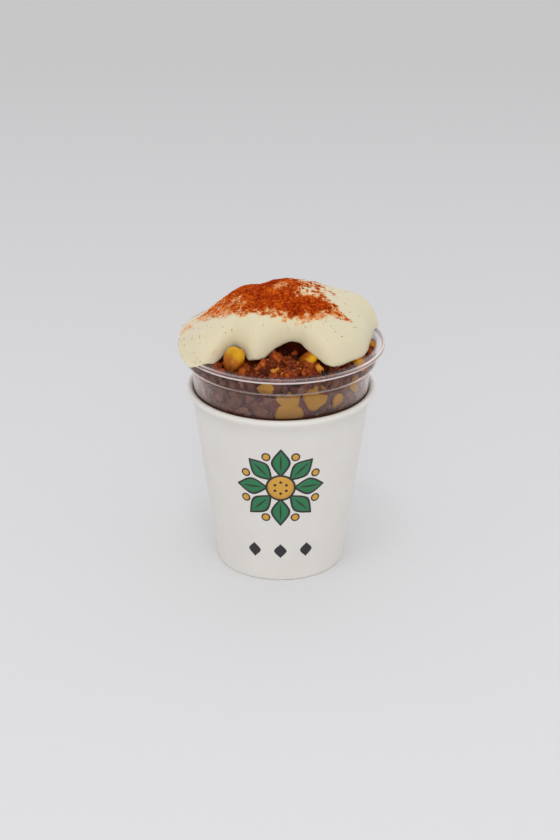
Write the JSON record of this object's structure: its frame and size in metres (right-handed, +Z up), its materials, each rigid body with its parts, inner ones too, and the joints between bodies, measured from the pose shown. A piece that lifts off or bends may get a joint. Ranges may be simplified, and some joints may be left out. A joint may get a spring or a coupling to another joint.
{
  "type": "cup of fried corn with sauce",
  "caption": "Fried corn kernels and crumbled meat heaped in a clear plastic cup that stands in a white paper cup, topped with thick pale sauce and chilli powder.",
  "frame": {"origin": "middle of the ring that the paper cup stands on, at the table", "axes": "+Z up through the cups; -Y is the front, where the sauce leaves corn bare"},
  "size_m": [0.098, 0.098, 0.1396],
  "materials": {
    "paper": "white coated paperboard with a soft satin surface and one small printed ornament",
    "clear_plastic": "clear thermoformed cup, glossy, filmed with oil inside",
    "corn": "oily fried corn kernels with reddish-brown crumbled meat",
    "sauce": "thick pale yellow-white sauce, moist, stained red-orange where chilli powder lies"
  },
  "bodies": {
    "root": {"paper_cup": "paper", "clear_cup": "clear_plastic", "corn_heap": "corn", "sauce": "sauce"}
  },
  "joints": []
}
